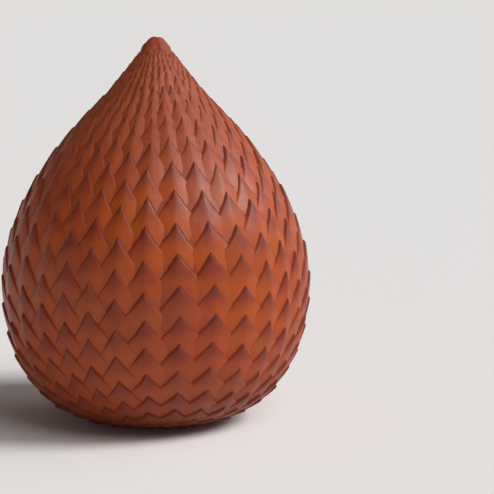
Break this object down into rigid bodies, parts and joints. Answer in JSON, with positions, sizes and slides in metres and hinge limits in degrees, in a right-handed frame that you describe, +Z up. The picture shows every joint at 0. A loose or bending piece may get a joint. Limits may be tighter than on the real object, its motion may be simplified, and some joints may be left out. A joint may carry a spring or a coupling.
{
  "type": "snake fruit",
  "caption": "Whole snake fruit (salak), broad and round below, drawn up to a pointed stem end, in a reddish-brown skin of overlapping pointed scales. It stands on a small flat spot.",
  "frame": {"origin": "centre of the small flat spot that the fruit rests on", "axes": "+Z up, towards the pointed stem end; -Y is the fruit's front; +X is to the right of the front"},
  "size_m": [0.0578, 0.0578, 0.072],
  "materials": {
    "scaly_skin": "dry leathery scales with a satin sheen, darker red-brown at the tips and orange-brown lower down each scale"
  },
  "bodies": {
    "root": {"snake_fruit": "scaly_skin"}
  },
  "joints": []
}
